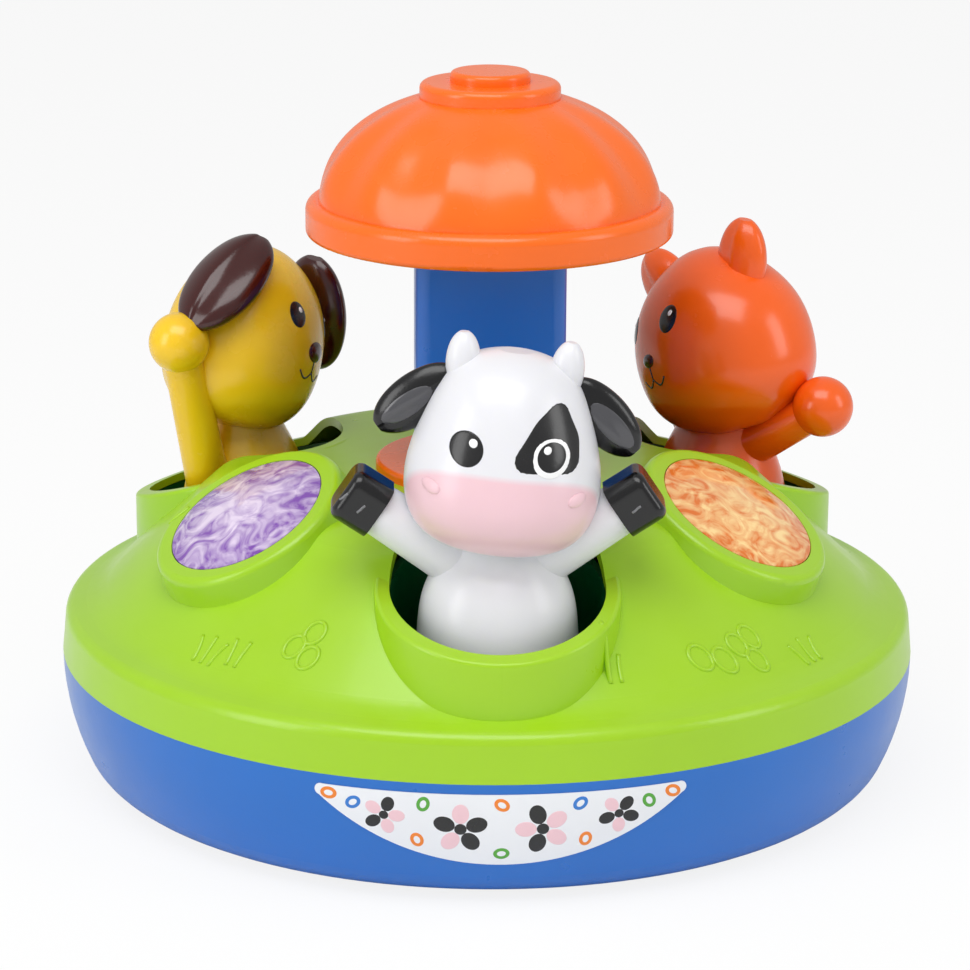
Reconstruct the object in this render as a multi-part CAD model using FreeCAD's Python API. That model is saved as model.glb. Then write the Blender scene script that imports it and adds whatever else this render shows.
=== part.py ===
import FreeCAD, Part
import math
import os

# Animal spinner toy. A round base carries a domed lid with three figures that turn in wells,
# three push lenses between them, and a square post under a cap. Pressing the cap drives a
# twisted bar through a slotted nut, which turns a central gear and the three figure gears.
# Millimetres, +Z up, origin on the axis at the floor, front at -Y.

os.makedirs("parts", exist_ok=True)
V = FreeCAD.Vector
UP = V(0, 0, 1)
ORIGIN = V(0, 0, 0)

# Clearances
run_gap = 0.3
seat_gap = 0.2
slide_gap = 0.4
bearing_gap = 0.06
key_gap = 0.05

# Base bowl
body_radius = 120.0
seam_height = 35.6
flat_inset = 16.0
bowl_corner = 11.0
foot_proud = 1.5
wall = 2.5
tongue_height = 3.4
tongue_wall = 1.8
foot_radius = 7.0
foot_thickness = 2.5
foot_orbit = 90.0
foot_count = 4

# Lid
rim_band_height = 12.4
rim_band_draft = 1.2
slope_foot_inset = 10.0
slope_foot_rise = 14.9
plateau_height = 85.3
plateau_edge_radius = 73.0
shoulder_fillet = 3.5
slope_foot_fillet = 14.0
plateau_fillet = 14.0

# Stations round the axis, in degrees from +X
cow_angle = 270.0
dog_angle = 150.0
cat_angle = 30.0
figure_angles = (cow_angle, dog_angle, cat_angle)
lens_angles = (210.0, 330.0, 90.0)

# Wells and their liner cups
figure_orbit = 80.0
well_inner_radius = 28.3
liner_wall = 1.9
pouch_wall = 1.9
lip_height = 75.5
lip_tilt = 18.0
lip_thickness = 2.4
lip_fillet = 1.1
well_floor_top = 50.5
well_floor_thickness = 2.0
well_boss_radius = 7.0

# Push lenses
lens_orbit = 77.0
lens_height = 83.0
lens_tilt = 30.0
lens_radius = 22.4
lens_crown = 3.2
lens_wall = 2.0
lens_skirt_depth = 8.0
lens_flange_width = 2.2
lens_travel = 2.0
pad_radius = 27.6
pad_foot_radius = 31.6
pad_depth = 21.0
pad_fillet = 2.4
lamp_board_depth = 15.0
lamp_board_thickness = 1.6

# Centre post, cap and spring
post_width = 41.2
post_corner = 4.0
post_wall = 2.5
post_top = 180.0
press_travel = 14.0
collar_margin = 2.37
collar_thickness = 3.0
guide_wall = 2.2
guide_depth = 19.0
flange_proud = 2.1
flange_thickness = 2.5
bulkhead_height = 108.0
bulkhead_thickness = 3.0
cap_rim_bottom = 152.3
cap_rim_radius = 50.7
cap_rim_height = 9.7
cap_dome_radius = 47.5
cap_dome_height = 31.0
cap_neck_radius = 20.0
cap_lobes = 12
cap_lobe_depth = 1.9
cap_lobe_start = 15.0
cap_ring_radius = 19.35
cap_ring_height = 4.3
cap_button_radius = 11.0
cap_button_height = 3.0
spring_radius = 13.2
spring_wire = 1.2
spring_turns = 4

# Twisted bar, nut and gears
bar_width = 12.0
bar_thickness = 2.4
bar_pitch = 40.0
bar_bottom = 42.0
bar_head_radius = 9.0
bar_head_thickness = 3.0
bar_step = 20.0
gear_teeth = 60
pinion_teeth = 20
gear_thickness = 6.0
gear_web_thickness = 3.0
gear_backlash = 0.7
tooth_clearance = 0.3
deck_height = 26.0
deck_thickness = 3.0
deck_radius = 92.0
cover_height = 46.0
cover_thickness = 2.0
hub_radius = 15.0
hub_ring_width = 4.0
deck_boss_radius = 10.0
deck_bore_radius = 8.0
clutch_teeth = 8
clutch_depth = 2.0
clutch_lift = 0.6
nut_height = 8.0
tower_wall = 2.0
spindle_radius = 4.0
spindle_pin_radius = 3.0
spindle_flat = 3.2
spindle_top = 66.0
pinion_hub_radius = 7.0

# Screws and the bosses that take them
screw_radius = 1.5
screw_head_radius = 3.4
screw_head_height = 2.2
screw_boss_radius = 4.5
lid_screw_orbit = 98.0
lid_screw_count = 3
lid_screw_start = 60.0
lid_screw_sink = 8.0
gearbox_screw_orbit = 85.0

# Battery box, speaker, circuit board and switch, all in the bowl
cell_radius = 7.25
cell_length = 50.5
cell_count = 3
cell_pitch = 15.0
battery_centre_y = 42.0
battery_room_x = 62.0
battery_room_y = 48.0
battery_ledge = 4.0
battery_wall = 2.0
battery_roof = 23.0
door_thickness = 2.0
contact_thickness = 0.6
speaker_radius = 20.0
speaker_centre_y = -52.0
grille_radius = 17.0
grille_slot_count = 7
grille_slot_width = 2.0
grille_pitch = 4.8
board_width = 36.0
board_length = 50.0
board_thickness = 1.6
board_centre_x = -62.0
board_height = 9.0
switch_centre_x = 64.0
switch_centre_y = -8.0
switch_travel = 8.0
knob_width = 5.4
knob_length = 9.4
label_thickness = 0.3
label_half_width = 47.5
label_top_gap = 2.6
label_bottom = 12.5

# Figures
torso_gap = 7.5
torso_bottom_gap = 0.7
cow_pivot = 96.0
head_pivot = 112.0
cow_heading = 269.0
dog_heading = 324.0
cat_heading = 218.0
cow_roll = -6.0
dog_roll = -22.0
cat_roll = 23.0

# Sizes that follow from the ones above
flat_radius = body_radius - flat_inset
slope_foot_radius = body_radius - slope_foot_inset
gear_module = 2 * figure_orbit / (gear_teeth + pinion_teeth)
collar_radius = post_width / math.sqrt(2) + collar_margin
torso_radius = well_inner_radius - torso_gap
floor_top = foot_proud + wall
rim_top_height = seam_height + rim_band_height
slope_foot_height = seam_height + slope_foot_rise
pouch_radius = well_inner_radius + liner_wall + seat_gap + pouch_wall
liner_radius = well_inner_radius + liner_wall
torso_bottom = well_floor_top + torso_bottom_gap
deck_top = deck_height + deck_thickness
cover_top = cover_height + cover_thickness
gear_bottom = deck_top + 4.0
gear_top = gear_bottom + gear_thickness
hub_bottom = deck_top + run_gap
clutch_base = gear_top + 2.0
nut_bottom = clutch_base + clutch_depth + clutch_lift
tower_bore = hub_radius + run_gap
tower_radius = tower_bore + tower_wall
nut_top = nut_bottom + clutch_depth + nut_height
tower_roof = nut_top + run_gap
tower_top = tower_roof + 2.0
guide_half = post_width / 2 + slide_gap
guide_bottom = plateau_height - guide_depth
post_bottom = guide_bottom - run_gap - flange_thickness
bar_top = bulkhead_height
lens_bore = lens_radius + run_gap
bar_twist_length = nut_top - bar_bottom + press_travel + 8.0


def keep(name, *solids):
    # Writes one node: a single solid, or a group of like solids.
    shape = solids[0] if len(solids) == 1 else Part.makeCompound(list(solids))
    shape.exportStep("parts/" + name + ".step")


def disc(radius, low, high, x=0.0, y=0.0):
    return Part.makeCylinder(radius, high - low, V(x, y, low))


def ring(outer, inner, low, high, x=0.0, y=0.0):
    return disc(outer, low, high, x, y).cut(disc(inner, low - 1, high + 1, x, y))


def block(x_size, y_size, low, high, x=0.0, y=0.0):
    return Part.makeBox(x_size, y_size, high - low, V(x - x_size / 2, y - y_size / 2, low))


def square_bar(width, corner, low, high):
    # A square bar with rounded vertical edges.
    bar = block(width, width, low, high)
    return bar.makeFillet(corner, [e for e in bar.Edges if abs(e.tangentAt(e.FirstParameter).z) > 0.9])


def turned(shape, angle):
    return shape.rotated(ORIGIN, UP, angle)


def polar(radius, angle, height=0.0):
    return V(radius * math.cos(math.radians(angle)), radius * math.sin(math.radians(angle)), height)


def spread(count, start=0.0):
    return [start + 360.0 * i / count for i in range(count)]


def revolve(points):
    # A solid of revolution from (radius, height) pairs.
    corners = [V(r, 0, z) for r, z in points]
    return Part.Face(Part.makePolygon(corners + corners[:1])).revolve(ORIGIN, UP, 360)


def inset(points, distance):
    # Moves an open chain of (radius, height) pairs to its left by a wall's thickness.
    sides = []
    for (r0, z0), (r1, z1) in zip(points, points[1:]):
        length = math.hypot(r1 - r0, z1 - z0)
        nr, nz = -(z1 - z0) / length, (r1 - r0) / length
        sides.append(((r0 + nr * distance, z0 + nz * distance), (r1 + nr * distance, z1 + nz * distance)))
    moved = [sides[0][0]]
    for (a, b), (c, d) in zip(sides, sides[1:]):
        ux, uz, vx, vz = b[0] - a[0], b[1] - a[1], d[0] - c[0], d[1] - c[1]
        t = ((c[0] - a[0]) * vz - (c[1] - a[1]) * vx) / (ux * vz - uz * vx)
        moved.append((a[0] + ux * t, a[1] + uz * t))
    return moved + [sides[-1][1]]


def fillet_ring(solid, radius, height, fillet):
    # Rounds the circular edge that lies at this radius and height.
    edges = [e for e in solid.Edges if isinstance(e.Curve, Part.Circle)
             and abs(e.Curve.Radius - radius) < 0.01 and abs(e.Curve.Center.z - height) < 0.01]
    return solid.makeFillet(fillet, edges)


def closed_curve(radius_at, height, count=20, centre=(0.0, 0.0)):
    # A smooth closed outline whose x and y reach come from a function of the angle.
    points = []
    for i in range(count):
        angle = 2 * math.pi * i / count
        x, y = radius_at(angle)
        points.append(V(centre[0] + x, centre[1] + y, height))
    curve = Part.BSplineCurve()
    curve.interpolate(Points=points, PeriodicFlag=True)
    return Part.Wire(curve.toShape())


def egg(sections, count=10):
    # A smooth closed form through ovals: (height, half depth, half width, forward shift).
    wires = []
    for height, depth, width, forward in sections:
        wires.append(closed_curve(lambda a, d=depth, w=width: (d * math.cos(a), w * math.sin(a)),
                                  height, count, (forward, 0.0)))
    return Part.makeLoft(wires, True, False)


def aim(shape, base, direction):
    # Stands a form made along +Z at a point, pointing along a direction.
    return shape.transformGeometry(FreeCAD.Placement(base, FreeCAD.Rotation(UP, direction)).toMatrix())


def lay(shape, base, along, out):
    # Lays a form made along +Z: its length along one direction, its thin side facing another.
    rotation = FreeCAD.Rotation(out, along.cross(out), along, "ZXY")
    return shape.transformGeometry(FreeCAD.Placement(base, rotation).toMatrix())


def pod(length, width, thickness):
    # A flattened egg that stands on its end at the origin.
    sections = []
    for share in (0.02, 0.1, 0.28, 0.5, 0.72, 0.9, 0.98):
        swell = math.sqrt(share * (1 - share))
        sections.append((length * share, thickness * swell, width * swell, 0.0))
    return egg(sections, 8)


def tilt_to_station(shape, angle):
    # Takes a lens piece from its own axis to its place on the lid.
    tilted = shape.rotated(ORIGIN, V(0, 1, 0), lens_tilt)
    tilted.translate(V(lens_orbit, 0, lens_height))
    return turned(tilted, angle)


def to_well(shape, angle):
    placed = shape.copy()
    placed.translate(V(figure_orbit, 0, 0))
    return turned(placed, angle)


# Base bowl: a revolved shell whose side is two arcs, tight at the floor and slow up to the seam
def bowl_solid(offset, rise=0.0):
    # The bowl's filled form, moved in by an offset and carried up past the seam by a rise.
    across = body_radius - flat_radius
    height = seam_height - foot_proud
    side_radius = (across ** 2 + height ** 2 - 2 * height * bowl_corner) / (2 * (across - bowl_corner))
    low_centre = V(flat_radius, 0, foot_proud + bowl_corner)
    high_centre = V(body_radius - side_radius, 0, seam_height)
    way = (low_centre - high_centre).normalize()
    start = V(flat_radius, 0, foot_proud + offset)
    joint = low_centre + way * (bowl_corner - offset)
    end = V(body_radius - offset, 0, seam_height)
    low_mid = low_centre + (way - UP).normalize() * (bowl_corner - offset)
    high_mid = high_centre + (way + V(1, 0, 0)).normalize() * (side_radius - offset)
    top = end + V(0, 0, rise)
    edges = [Part.makeLine(V(0, 0, start.z), start), Part.Arc(start, low_mid, joint).toShape(),
             Part.Arc(joint, high_mid, end).toShape()]
    if rise:
        edges.append(Part.makeLine(end, top))
    edges += [Part.makeLine(top, V(0, 0, top.z)), Part.makeLine(V(0, 0, top.z), V(0, 0, start.z))]
    return Part.Face(Part.Wire(edges)).revolve(ORIGIN, UP, 360)


def screw(x, y, head_bottom, tip, up=True):
    # Round head and plain shank; the head's seat is at head_bottom.
    if up:
        return disc(screw_head_radius, head_bottom, head_bottom + screw_head_height, x, y).fuse(
            disc(screw_radius, tip, head_bottom, x, y))
    return disc(screw_head_radius, head_bottom - screw_head_height, head_bottom, x, y).fuse(
        disc(screw_radius, head_bottom, tip, x, y))


def grille_slots():
    # Parallel slots under the speaker, each as long as the round grille is wide there.
    slots = []
    for i in range(grille_slot_count):
        x = grille_pitch * (i - (grille_slot_count - 1) / 2)
        length = 2 * math.sqrt(grille_radius ** 2 - x ** 2)
        slots.append(block(grille_slot_width, length, 0, floor_top + 1, x, speaker_centre_y))
    return slots


lid_joint = seam_height - 3.6
door_size_x = battery_room_x + 2 * battery_ledge
door_size_y = battery_room_y + 2 * battery_ledge
board_corners = [(board_centre_x + side * (board_width / 2 - 4), side * (board_length / 2 - 4))
                 for side in (-1, 1)]
slot_length = knob_length + switch_travel + 2 * slide_gap


def make_bowl():
    bowl = bowl_solid(0).cut(bowl_solid(wall, 1.0))
    lid_draw_in = rim_band_draft * tongue_height / rim_band_height
    tongue_outer = body_radius - wall - lid_draw_in - seat_gap
    tongue_inner = tongue_outer - tongue_wall
    shoulder = body_radius - wall / 2
    tongue_top = seam_height + tongue_height
    adds = [revolve([(tongue_inner, seam_height - 7), (shoulder, seam_height - 7), (shoulder, seam_height),
                     (tongue_outer, seam_height), (tongue_outer, tongue_top), (tongue_inner, tongue_top)])]
    cuts = []
    for angle in spread(lid_screw_count, lid_screw_start):
        spot = polar(lid_screw_orbit, angle)
        adds.append(disc(screw_boss_radius, floor_top - 0.5, lid_joint, spot.x, spot.y))
        cuts.append(disc(screw_radius + seat_gap, 0, lid_joint + 1, spot.x, spot.y))
        cuts.append(disc(screw_head_radius + run_gap, 0, foot_proud + lid_screw_sink, spot.x, spot.y))
    for angle in lens_angles:
        spot = polar(gearbox_screw_orbit, angle)
        adds.append(disc(screw_boss_radius, floor_top - 0.5, deck_height, spot.x, spot.y))
        cuts.append(disc(screw_radius + key_gap, deck_height - 14, deck_height + 1, spot.x, spot.y))
    for angle in spread(foot_count, 45):
        spot = polar(foot_orbit, angle)
        cuts.append(disc(foot_radius + seat_gap, 0, foot_thickness, spot.x, spot.y))
    y = battery_centre_y
    adds.append(block(door_size_x + 6, door_size_y + 6, foot_proud, floor_top + 1.5, 0, y))
    adds.append(block(battery_room_x + 2 * battery_wall, battery_room_y + 2 * battery_wall,
                      floor_top, battery_roof, 0, y))
    cuts.append(block(door_size_x, door_size_y, 0, foot_proud + door_thickness, 0, y))
    cuts.append(block(battery_room_x, battery_room_y, 0, battery_roof - battery_wall, 0, y))
    adds.append(ring(speaker_radius + 1.9, speaker_radius + run_gap, floor_top - 0.5, floor_top + 4,
                     0, speaker_centre_y))
    cuts.extend(grille_slots())
    for x, y in board_corners:
        adds.append(disc(3.0, floor_top - 0.5, board_height, x, y))
        cuts.append(disc(screw_radius * 0.7, floor_top + 1, board_height + 1, x, y))
    cuts.append(block(knob_width + 2 * slide_gap, slot_length, 0, floor_top + 1,
                      switch_centre_x, switch_centre_y))
    return bowl.fuse(adds).cut(cuts).removeSplitter()


keep("base_bowl", make_bowl())

feet = []
for angle in spread(foot_count, 45):
    spot = polar(foot_orbit, angle)
    feet.append(disc(foot_radius, 0, foot_thickness, spot.x, spot.y))
keep("rubber_feet", *feet)

lid_screws = []
for angle in spread(lid_screw_count, lid_screw_start):
    spot = polar(lid_screw_orbit, angle)
    lid_screws.append(screw(spot.x, spot.y, foot_proud + lid_screw_sink, lid_joint + 8, up=False))
keep("lid_screws", *lid_screws)


# Battery door, cells and contacts
def make_door():
    door = block(door_size_x - 2 * run_gap, door_size_y - 2 * run_gap, foot_proud,
                 foot_proud + door_thickness, 0, battery_centre_y)
    for side in (-1, 1):
        rib = block(2, battery_room_y - 8, foot_proud + door_thickness, foot_proud + door_thickness + 1.2,
                    side * cell_length / 4, battery_centre_y)
        door = door.fuse(rib)
    latch_y = battery_centre_y + door_size_y / 2 - battery_ledge / 2 - 1
    door = door.cut(disc(screw_radius + seat_gap, 0, 9, 0, latch_y))
    return door.cut(disc(screw_head_radius + run_gap, 0, foot_proud + 1.0, 0, latch_y)), latch_y


battery_door, latch_y = make_door()
keep("battery_door", battery_door)
latch = disc(screw_head_radius - 0.8, foot_proud + 0.1, foot_proud + 1.0, 0, latch_y)
keep("battery_door_screw", latch.fuse(disc(screw_radius, foot_proud + 1.0, foot_proud + door_thickness, 0, latch_y)))

cell_axis = foot_proud + door_thickness + 1.5 + cell_radius
cells = []
contacts = []
for i in range(cell_count):
    y = battery_centre_y + cell_pitch * (i - (cell_count - 1) / 2)
    body_length = cell_length - 1.5
    cell = Part.makeCylinder(cell_radius, body_length, V(-cell_length / 2, y, cell_axis), V(1, 0, 0))
    tip = Part.makeCylinder(2.75, 1.5, V(cell_length / 2 - 1.5, y, cell_axis), V(1, 0, 0))
    cells.append(cell.fuse(tip))
    for side in (-1, 1):
        plate_x = side * (battery_room_x - contact_thickness) / 2
        plate = Part.makeBox(contact_thickness, 11, 11,
                             V(plate_x - contact_thickness / 2, y - 5.5, cell_axis - 5.5))
        reach = battery_room_x / 2 - contact_thickness - cell_length / 2 - seat_gap
        boss_x = side * (battery_room_x / 2 - contact_thickness - reach / 2)
        contacts.append(plate.fuse(block(reach, 5, cell_axis - 2.5, cell_axis + 2.5, boss_x, y)))
keep("battery_cells", *cells)
keep("battery_contacts", *contacts)

# Speaker, circuit board and slide switch
speaker = revolve([(0, floor_top), (speaker_radius, floor_top), (speaker_radius, floor_top + 1.5),
                   (speaker_radius - 1.5, floor_top + 1.5), (speaker_radius / 2, floor_top + 7),
                   (speaker_radius / 2, floor_top + 13), (0, floor_top + 13)])
speaker.translate(V(0, speaker_centre_y, 0))
keep("speaker", speaker)

board_top = board_height + board_thickness
chip_blob = Part.makeSphere(9, V(board_centre_x, 8, board_top - 6.5)).common(
    disc(12, board_top, board_top + 6, board_centre_x, 8))
capacitor = disc(3, board_top, board_top + 7, board_centre_x - 8, -12)
plug_header = block(6, 12, board_top, board_top + 5, board_centre_x + 10, -12)
keep("board_components", chip_blob, capacitor, plug_header)
board_screws = [disc(2.2, board_top, board_top + 1.5, x, y).fuse(
    disc(screw_radius * 0.7 - key_gap, floor_top + 2, board_top, x, y)) for x, y in board_corners]
keep("board_screws", *board_screws)
board_hole_cut = [disc(screw_radius * 0.7, board_height - 1, board_top + 1, x, y) for x, y in board_corners]
keep("circuit_board", block(board_width, board_length, board_height, board_top, board_centre_x, 0).cut(board_hole_cut))

slider_low = floor_top + run_gap
slider_high = slider_low + 1.5
slider_start_y = switch_centre_y - switch_travel / 2
knob = block(knob_width, knob_length, foot_proud + 0.4, slider_low, switch_centre_x, slider_start_y)
for step in (-2.4, 0, 2.4):
    knob = knob.cut(Part.makeCylinder(0.6, knob_width + 2,
                    V(switch_centre_x - knob_width / 2 - 1, slider_start_y + step, foot_proud + 0.4), V(1, 0, 0)))
carrier = block(10, knob_length + 14, slider_low, slider_high, switch_centre_x, slider_start_y)
keep("power_slider", knob.fuse(carrier))
housing_length = knob_length + 14 + switch_travel + 2 * run_gap + 4
housing = block(15, housing_length, floor_top, slider_high + 7, switch_centre_x, switch_centre_y)
channel = block(10 + 2 * run_gap, housing_length - 4, floor_top - 1, slider_high + run_gap,
                switch_centre_x, switch_centre_y)
keep("switch_housing", housing.cut(channel))

# Front label: a thin crescent that lies on the bowl's side
def make_label():
    top = seam_height - label_top_gap
    corner = top - 3.0
    outline = Part.Wire([
        Part.makeLine(V(-label_half_width + 2, 0, top), V(label_half_width - 2, 0, top)),
        Part.Arc(V(label_half_width - 2, 0, top), V(label_half_width, 0, top - 1.2),
                 V(label_half_width - 1, 0, corner)).toShape(),
        Part.Arc(V(label_half_width - 1, 0, corner), V(0, 0, label_bottom),
                 V(-label_half_width + 1, 0, corner)).toShape(),
        Part.Arc(V(-label_half_width + 1, 0, corner), V(-label_half_width, 0, top - 1.2),
                 V(-label_half_width + 2, 0, top)).toShape()])
    prism = Part.Face(outline).extrude(V(0, -body_radius - 5, 0))
    skin = bowl_solid(-label_thickness - key_gap).cut(bowl_solid(-key_gap))
    return skin.common(prism)


keep("front_label", make_label())


# Lid: a domed shell with a raised pad for each lens and a tilted well for each figure
lid_chain = [(body_radius, seam_height), (body_radius - rim_band_draft, rim_top_height),
             (slope_foot_radius, slope_foot_height), (plateau_edge_radius, plateau_height), (0, plateau_height)]


def lid_form(offset, drop=0.0):
    # The dome's filled form, moved in by an offset and run down below the seam by a drop.
    chain = inset(lid_chain, offset) if offset else list(lid_chain)
    foot = chain[0][1] - drop
    solid = revolve([(0, foot), (chain[0][0], foot)] + chain[(0 if drop else 1):])
    solid = fillet_ring(solid, chain[1][0], chain[1][1], max(shoulder_fillet - offset, 0.8))
    solid = fillet_ring(solid, chain[2][0], chain[2][1], slope_foot_fillet + offset)
    return fillet_ring(solid, chain[3][0], chain[3][1], plateau_fillet - offset)


def tilted_post(radius, low, drop=0.0):
    # A vertical cylinder whose top is cut by the well's lip plane, lowered by a drop.
    post = disc(radius, low, lip_height + 30)
    knife = Part.makeBox(200, 200, 80, V(-100, -100, 0))
    knife = knife.rotated(ORIGIN, V(0, 1, 0), lip_tilt)
    knife.translate(V(0, 0, lip_height - drop))
    return post.cut(knife)


def pouch(angle):
    body = tilted_post(pouch_radius, seam_height + 8)
    rim = [e for e in body.Edges if isinstance(e.Curve, Part.Ellipse)]
    return to_well(body.makeFillet(lip_fillet, rim), angle)


def lens_pad(angle):
    pad = Part.makeCone(pad_foot_radius, pad_radius, pad_depth, V(0, 0, -pad_depth))
    return tilt_to_station(fillet_ring(pad, pad_radius, 0, pad_fillet), angle)


def lens_pad_room(angle):
    # The hollow under a pad, one wall inside its cone.
    room = Part.makeCone(pad_foot_radius - wall, pad_radius - wall, pad_depth - wall, V(0, 0, -pad_depth))
    return tilt_to_station(room, angle)


def make_lid():
    outer = lid_form(0)
    outer = outer.fuse([pouch(a) for a in figure_angles] + [lens_pad(a) for a in lens_angles])
    rooms = [to_well(tilted_post(pouch_radius - pouch_wall, 20, lip_thickness), a) for a in figure_angles]
    rooms += [lens_pad_room(a) for a in lens_angles]
    lid = outer.cut([lid_form(wall, 6.0)] + rooms)
    adds = []
    cuts = [to_well(disc(well_inner_radius, 20, 120), a) for a in figure_angles]
    cuts += [tilt_to_station(disc(lens_bore, -wall - 3, 10), a) for a in lens_angles]
    for angle in lens_angles:
        guide = ring(lens_radius + lens_flange_width + 2.4, lens_radius + lens_flange_width + run_gap,
                     -lamp_board_depth, -wall + 0.3)
        adds.append(tilt_to_station(guide, angle))
    sleeve = square_bar(2 * (guide_half + guide_wall), post_corner + guide_wall, guide_bottom,
                        plateau_height - wall / 2)
    adds.append(sleeve)
    for angle in spread(lid_screw_count, lid_screw_start):
        spot = polar(lid_screw_orbit, angle)
        boss = disc(screw_boss_radius, lid_joint + seat_gap, plateau_height, spot.x, spot.y)
        adds.append(boss.common(lid_form(wall / 2, 6.0)))
        cuts.append(disc(screw_radius + key_gap, lid_joint - 1, lid_joint + 12, spot.x, spot.y))
    cuts.append(square_bar(2 * guide_half, post_corner + slide_gap, guide_bottom - 1, plateau_height + 1))
    return lid.fuse(adds).cut(cuts)


keep("dome_lid", make_lid())

collar = disc(collar_radius, plateau_height, plateau_height + collar_thickness)
collar = fillet_ring(collar, collar_radius, plateau_height + collar_thickness, 1.2)
keep("post_collar", collar.cut(square_bar(2 * guide_half, post_corner + slide_gap, 80, 95)))


# Liner cups: one under each well, with the figure's bearing in its floor
def liner():
    cup = tilted_post(liner_radius, well_floor_top - well_floor_thickness, lip_thickness + seat_gap)
    cup = cup.cut(disc(well_inner_radius, well_floor_top, 120))
    cup = cup.fuse(disc(well_boss_radius, cover_top + seat_gap, well_floor_top))
    return cup.cut(disc(spindle_radius + bearing_gap, 20, 60))


# Lens pieces, made about their own axis and then taken to their stations
def lens_cap():
    edge = lens_radius
    inner = edge - lens_wall
    round_radius = (edge ** 2 + lens_crown ** 2) / (2 * lens_crown)
    half = math.asin(edge / round_radius) / 2
    mid = V(round_radius * math.sin(half), 0, lens_crown - round_radius * (1 - math.cos(half)))
    low = V(0, 0, -lens_skirt_depth)
    edges = [Part.makeLine(low, low + V(edge, 0, 0)), Part.makeLine(low + V(edge, 0, 0), V(edge, 0, 0)),
             Part.Arc(V(edge, 0, 0), mid, V(0, 0, lens_crown)).toShape(),
             Part.makeLine(V(0, 0, lens_crown), low)]
    body = Part.Face(Part.Wire(edges)).revolve(ORIGIN, UP, 360)
    body = body.fuse(disc(edge + lens_flange_width, -lens_skirt_depth, -lens_skirt_depth + 1.6))
    body = body.cut(disc(inner, -lens_skirt_depth - 1, -0.8))
    return body.fuse(disc(3.0, -lens_skirt_depth, -0.5))


lens_names = ("lens_purple", "lens_orange", "lens_rear")
board_face = -lamp_board_depth
for name, angle in zip(lens_names, lens_angles):
    keep(name, tilt_to_station(lens_cap(), angle))
lamp_board = disc(lens_radius + lens_flange_width + 2.4, board_face - lamp_board_thickness, board_face)
keep("lamp_boards", *[tilt_to_station(lamp_board, a) for a in lens_angles])
dome_top = -lens_skirt_depth - lens_travel - run_gap
rubber = Part.makeCone(6, 3.2, dome_top - board_face, V(0, 0, board_face))
keep("button_domes", *[tilt_to_station(rubber, a) for a in lens_angles])
lamps = []
for angle in lens_angles:
    for side in (-1, 1):
        lamp = disc(1.5, board_face, board_face + 2.5, 0, side * 11).fuse(
            Part.makeCone(1.5, 0.7, 1.2, V(0, side * 11, board_face + 2.5)))
        lamps.append(tilt_to_station(lamp, angle))
keep("lamps", *lamps)


# Gears: straight-flanked teeth on a common module
def gear_blank(teeth, low, high):
    pitch_r = gear_module * teeth / 2
    tip_r = pitch_r + gear_module - tooth_clearance
    root_r = pitch_r - 1.25 * gear_module
    half = (math.pi * gear_module / 2 - gear_backlash) / 2
    lean = math.tan(math.radians(20))
    points = []
    for tooth in range(teeth):
        mid = 2 * math.pi * tooth / teeth
        for radius, side in ((root_r, -1), (tip_r, -1), (tip_r, 1), (root_r, 1)):
            reach = side * (half - (radius - pitch_r) * lean) / radius
            points.append(V(radius * math.cos(mid + reach), radius * math.sin(mid + reach), low))
    return Part.Face(Part.makePolygon(points + points[:1])).extrude(V(0, 0, high - low))


def clutch_ring(base, up):
    # Saw teeth with one upright face each, pointing up from the gear or down from the nut.
    teeth = []
    step = 360.0 / clutch_teeth
    tip = base + (clutch_depth if up else -clutch_depth)
    for start in spread(clutch_teeth):
        end = start + step - 3.0
        steep, shallow = (start, end) if up else (end, start)
        faces = []
        for radius in (hub_radius - hub_ring_width, hub_radius - 0.1):
            corners = [polar(radius, shallow, base), polar(radius, steep, base), polar(radius, steep, tip)]
            faces.append(Part.makePolygon(corners + corners[:1]))
        teeth.append(Part.makeLoft(faces, True, True))
    return teeth


def bar_blank(width, thickness, low, high):
    # A flat bar twisted at a steady pitch; the same twist cuts the nut's slot.
    count = max(2, int(math.ceil((high - low) / bar_pitch * 360 / bar_step)))
    wires = []
    for i in range(count + 1):
        z = low + (high - low) * i / count
        corners = [V(sx * width / 2, sy * thickness / 2, z) for sx, sy in ((-1, -1), (1, -1), (1, 1), (-1, 1))]
        wire = Part.makePolygon(corners + corners[:1])
        wires.append(wire.rotated(ORIGIN, UP, 360.0 * (z - bar_bottom) / bar_pitch))
    return Part.makeLoft(wires, True, True)


drive_gear = gear_blank(gear_teeth, gear_bottom, gear_top)
web_margin = (gear_thickness - gear_web_thickness) / 2
rim_inner = gear_module * gear_teeth / 2 - 6.0
for low, high in ((gear_bottom - 1, gear_bottom + web_margin), (gear_top - web_margin, gear_top + 1)):
    drive_gear = drive_gear.cut(ring(rim_inner, hub_radius, low, high))
for angle in spread(6, 30):
    spot = polar((rim_inner + hub_radius) / 2, angle)
    drive_gear = drive_gear.cut(disc(11.0, gear_bottom, gear_top, spot.x, spot.y))
drive_gear = drive_gear.fuse([disc(hub_radius, hub_bottom, clutch_base)] + clutch_ring(clutch_base, True))
drive_gear = drive_gear.cut(disc(deck_boss_radius + bearing_gap, 20, 60))
keep("drive_gear", drive_gear.removeSplitter())

nut = disc(hub_radius, nut_bottom + clutch_depth, nut_top).fuse(clutch_ring(nut_bottom + clutch_depth, False))
slot = bar_blank(bar_width + 2 * slide_gap, bar_thickness + 2 * slide_gap, nut_bottom - 1, nut_top + 1)
keep("drive_nut", nut.cut(slot))

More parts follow.
